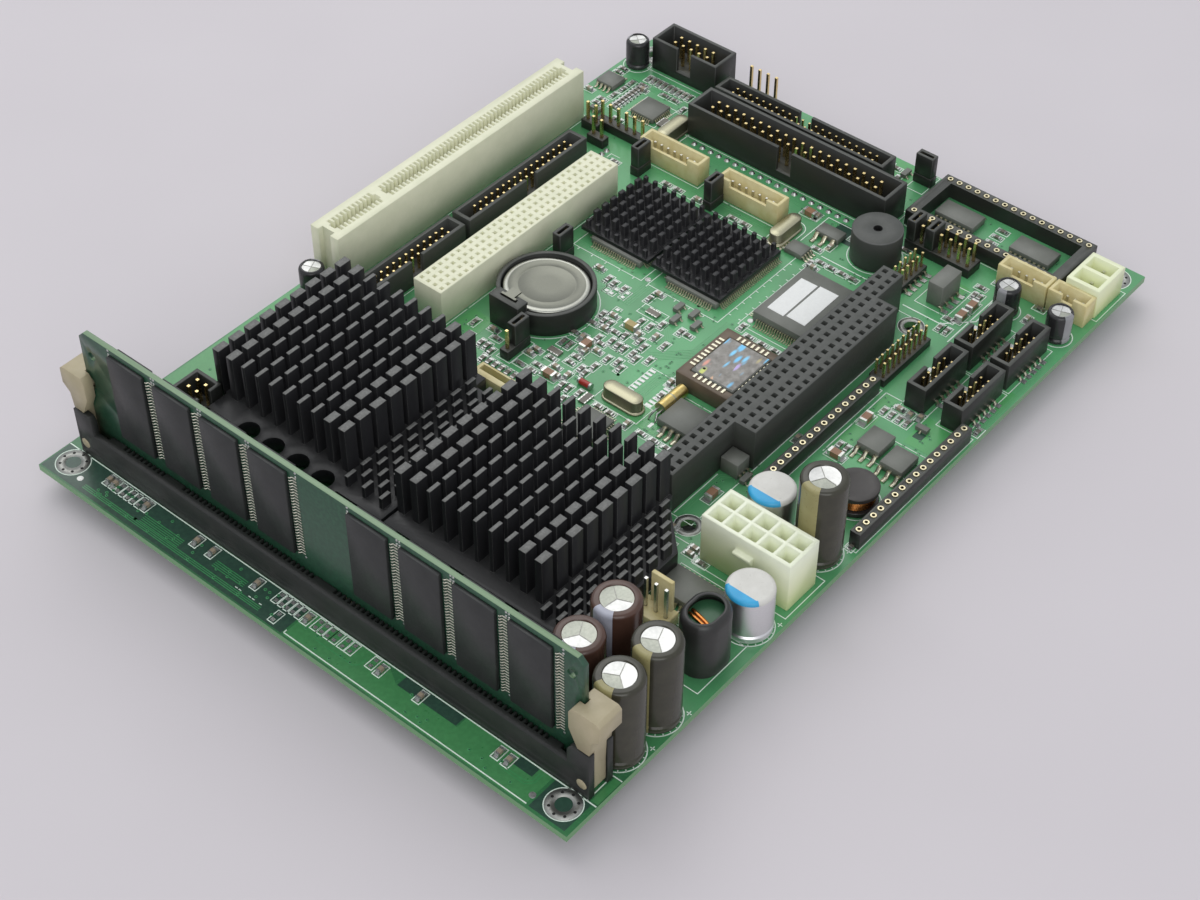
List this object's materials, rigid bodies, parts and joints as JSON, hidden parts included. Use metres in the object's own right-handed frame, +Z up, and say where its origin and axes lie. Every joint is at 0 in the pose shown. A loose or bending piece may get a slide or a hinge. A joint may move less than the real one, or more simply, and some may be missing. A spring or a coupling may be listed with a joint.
{
  "type": "single-board computer",
  "caption": "Bare single-board computer: green circuit board with a memory module in a latching socket, finned black heatsinks, pin headers, stacking connectors and an expansion slot.",
  "frame": {"origin": "centre of the corner mounting holes, on the board's underside", "axes": "+X along the long side, away from the memory socket; +Y along the short side, towards the expansion slot; +Z up, out of the component side"},
  "size_m": [0.2058, 0.1462, 0.0412],
  "materials": {
    "board_green": "satin solder mask",
    "black_plastic": "moulded",
    "gold": "gold plated",
    "latch_ivory": "moulded",
    "module_green": "satin solder mask",
    "chip_grey": "moulded epoxy",
    "black_anodised": "black anodised",
    "ivory": "moulded",
    "steel": "brushed",
    "tan": "moulded",
    "tin": "tin plated",
    "socket_brown": "moulded",
    "white_nylon": "moulded",
    "olive_sleeve": "shrink sleeve over a can",
    "brown_sleeve": "shrink sleeve over a can",
    "aluminium_can": "drawn can",
    "dark_sleeve": "shrink sleeve",
    "ferrite": "ferrite",
    "core_green": "coated iron powder",
    "card_grey": "moulded with metal covers"
  },
  "bodies": {
    "computer": {"board": "board_green", "memory_socket": "black_plastic", "memory_contacts": "gold", "heatsink_rear": "black_anodised", "heatsink_front": "black_anodised", "bridge_chips": "chip_grey", "controller_heatsinks": "black_anodised", "controller_chips": "chip_grey", "expansion_slot": "ivory", "expansion_contacts": "gold", "ribbon_headers": "black_plastic", "ribbon_pins": "gold", "plus_connector": "ivory", "plus_contacts": "gold", "stack_connector": "black_plastic", "stack_contacts": "gold", "battery_holder": "black_plastic", "coin_cell": "steel", "battery_clip": "gold", "drive_header": "black_plastic", "drive_pins": "gold", "slim_drive_header": "black_plastic", "slim_drive_pins": "gold", "box_headers": "black_plastic", "box_header_pins": "gold", "pin_bases": "black_plastic", "strip_pins": "gold", "jumper_caps": "black_plastic", "wafer_connectors": "tan", "wafer_pins": "tin", "chip_socket": "black_plastic", "contact_strips": "black_plastic", "turned_contacts": "gold", "buzzer": "black_plastic", "carrier_socket": "socket_brown", "carrier_chip": "chip_grey", "support_chip": "chip_grey", "small_chips": "chip_grey", "power_transistors": "chip_grey", "crystal_cans": "steel", "power_connector": "ivory", "power_pins": "gold", "disk_power_connector": "white_nylon", "dark_capacitors": "olive_sleeve", "brown_capacitors": "brown_sleeve", "polymer_capacitors": "aluminium_can", "small_capacitors": "dark_sleeve", "drum_inductor": "ferrite", "choke_sleeve": "dark_sleeve", "choke_core": "core_green", "fan_header": "ivory", "surface_headers": "black_plastic", "surface_header_pins": "gold", "card_socket": "black_plastic", "memory_card": "card_grey"},
    "memory": {"memory_module": "module_green", "memory_chips": "chip_grey"},
    "rear_latch": {"latch_rear": "latch_ivory"},
    "front_latch": {"latch_front": "latch_ivory"}
  },
  "joints": [
    {"name": "memory_slide", "type": "slide", "parent": "computer", "child": "memory", "axis": [0, 0, 1], "range_m": [0, 0.003]},
    {"name": "rear_latch_pivot", "type": "hinge", "parent": "computer", "child": "rear_latch", "pos_m": [-0.0895, 0.06732, 0.005], "axis": [-1, 0, 0], "range_deg": [0, 30]},
    {"name": "front_latch_pivot", "type": "hinge", "parent": "computer", "child": "front_latch", "pos_m": [-0.0895, -0.06913, 0.005], "axis": [1, 0, 0], "range_deg": [0, 30]}
  ],
  "couplings": [
    {"joint": "rear_latch_pivot", "follows": "memory_slide", "rad_per_m": 174.53},
    {"joint": "front_latch_pivot", "follows": "memory_slide", "rad_per_m": 174.53}
  ]
}
